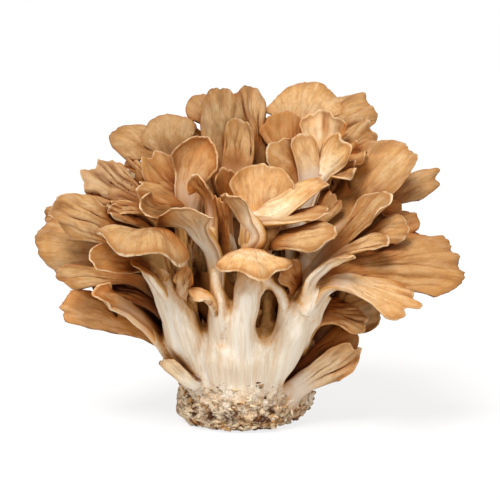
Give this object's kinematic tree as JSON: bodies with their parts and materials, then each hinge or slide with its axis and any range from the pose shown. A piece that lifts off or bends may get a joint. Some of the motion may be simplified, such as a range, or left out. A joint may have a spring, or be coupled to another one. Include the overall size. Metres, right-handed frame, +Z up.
{
  "type": "maitake mushroom",
  "caption": "Maitake mushroom: a cluster of overlapping fan-shaped brown caps on pale stalks that branch from a common butt, standing on a flat plug of substrate.",
  "frame": {"origin": "middle of the flat underside of the substrate plug, on the surface that the cluster stands on", "axes": "+Z up from the butt to the crown, +X to the right of the side with the most open caps, which looks along -Y"},
  "size_m": [0.1651, 0.1274, 0.1353],
  "materials": {
    "cap": "satin tan to brown skin with fine radial fibres, pale cream underneath",
    "flesh": "matt cream fibrous flesh",
    "substrate": "rough dark brown crumbs of sawdust"
  },
  "bodies": {
    "root": {"back_high": "cap", "back_high_left": "cap", "back_high_right": "cap", "back_low": "cap", "back_low_left": "cap", "back_low_right": "cap", "bowls": "cap", "butt": "flesh", "centre_front": "cap", "centre_funnel": "cap", "centre_left_funnel": "cap", "centre_right_cap": "cap", "centre_small_cap": "cap", "crown_dark_bowl": "cap", "crown_dome": "cap", "crown_petals": "cap", "crown_side": "cap", "crown_spoon": "cap", "crown_upright": "cap", "far_left_large": "cap", "far_left_pleated": "cap", "front_left_wavy": "cap", "inner_centre": "cap", "inner_left": "cap", "inner_right": "cap", "left_low": "cap", "left_mid": "cap", "left_pleated": "cap", "left_scroll": "cap", "left_stalk_bud": "cap", "left_under_bowl": "cap", "lowest_left": "cap", "right_back_lobe": "cap", "right_fan": "cap", "right_inner_petal": "cap", "right_low_leaf": "cap", "right_recess": "cap", "right_ribbon": "cap", "right_shelf": "cap", "right_stalk_left_cap": "cap", "right_tall_spoon": "cap", "side_high_left": "cap", "side_high_right": "cap", "side_low_left": "cap", "side_low_right": "cap", "small_scroll": "cap", "stalk_back_left": "flesh", "stalk_back_right": "flesh", "stalk_centre": "flesh", "stalk_centre_left": "flesh", "stalk_crown": "flesh", "stalk_left": "flesh", "stalk_left_inner": "flesh", "stalk_right": "flesh", "stalk_right_inner": "flesh", "substrate": "substrate", "tongue": "cap", "upper_left": "cap"}
  },
  "joints": []
}
